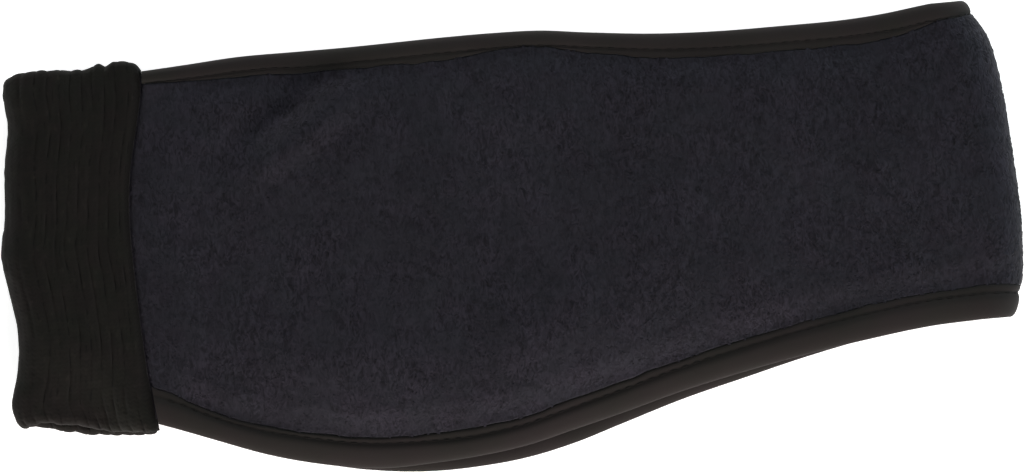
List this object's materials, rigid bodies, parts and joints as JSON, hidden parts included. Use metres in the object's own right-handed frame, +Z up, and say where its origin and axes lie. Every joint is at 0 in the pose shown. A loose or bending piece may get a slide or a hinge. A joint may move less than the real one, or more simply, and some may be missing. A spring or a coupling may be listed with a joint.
{
  "type": "fleece headband",
  "caption": "Fleece ear-warmer headband lying flat: a wide shaped band with bound edges, closed at the back by a rib-knit panel.",
  "frame": {"origin": "centre of the flat headband's outline, on the surface that it lies on", "axes": "+X along the folded band from the knit panel to the forehead fold, +Y across the band to its crown edge, +Z up from the surface"},
  "size_m": [0.2545, 0.1079, 0.0155],
  "materials": {
    "fleece": "blue-black anti-pill fleece with a short curled nap",
    "binding": "brown-black smooth stretch knit, folded over the edge and stitched",
    "rib_knit": "black matte rib knit with elastic"
  },
  "bodies": {
    "root": {"fleece_band": "fleece", "top_binding": "binding", "bottom_binding": "binding", "rib_knit_panel": "rib_knit"}
  },
  "joints": []
}
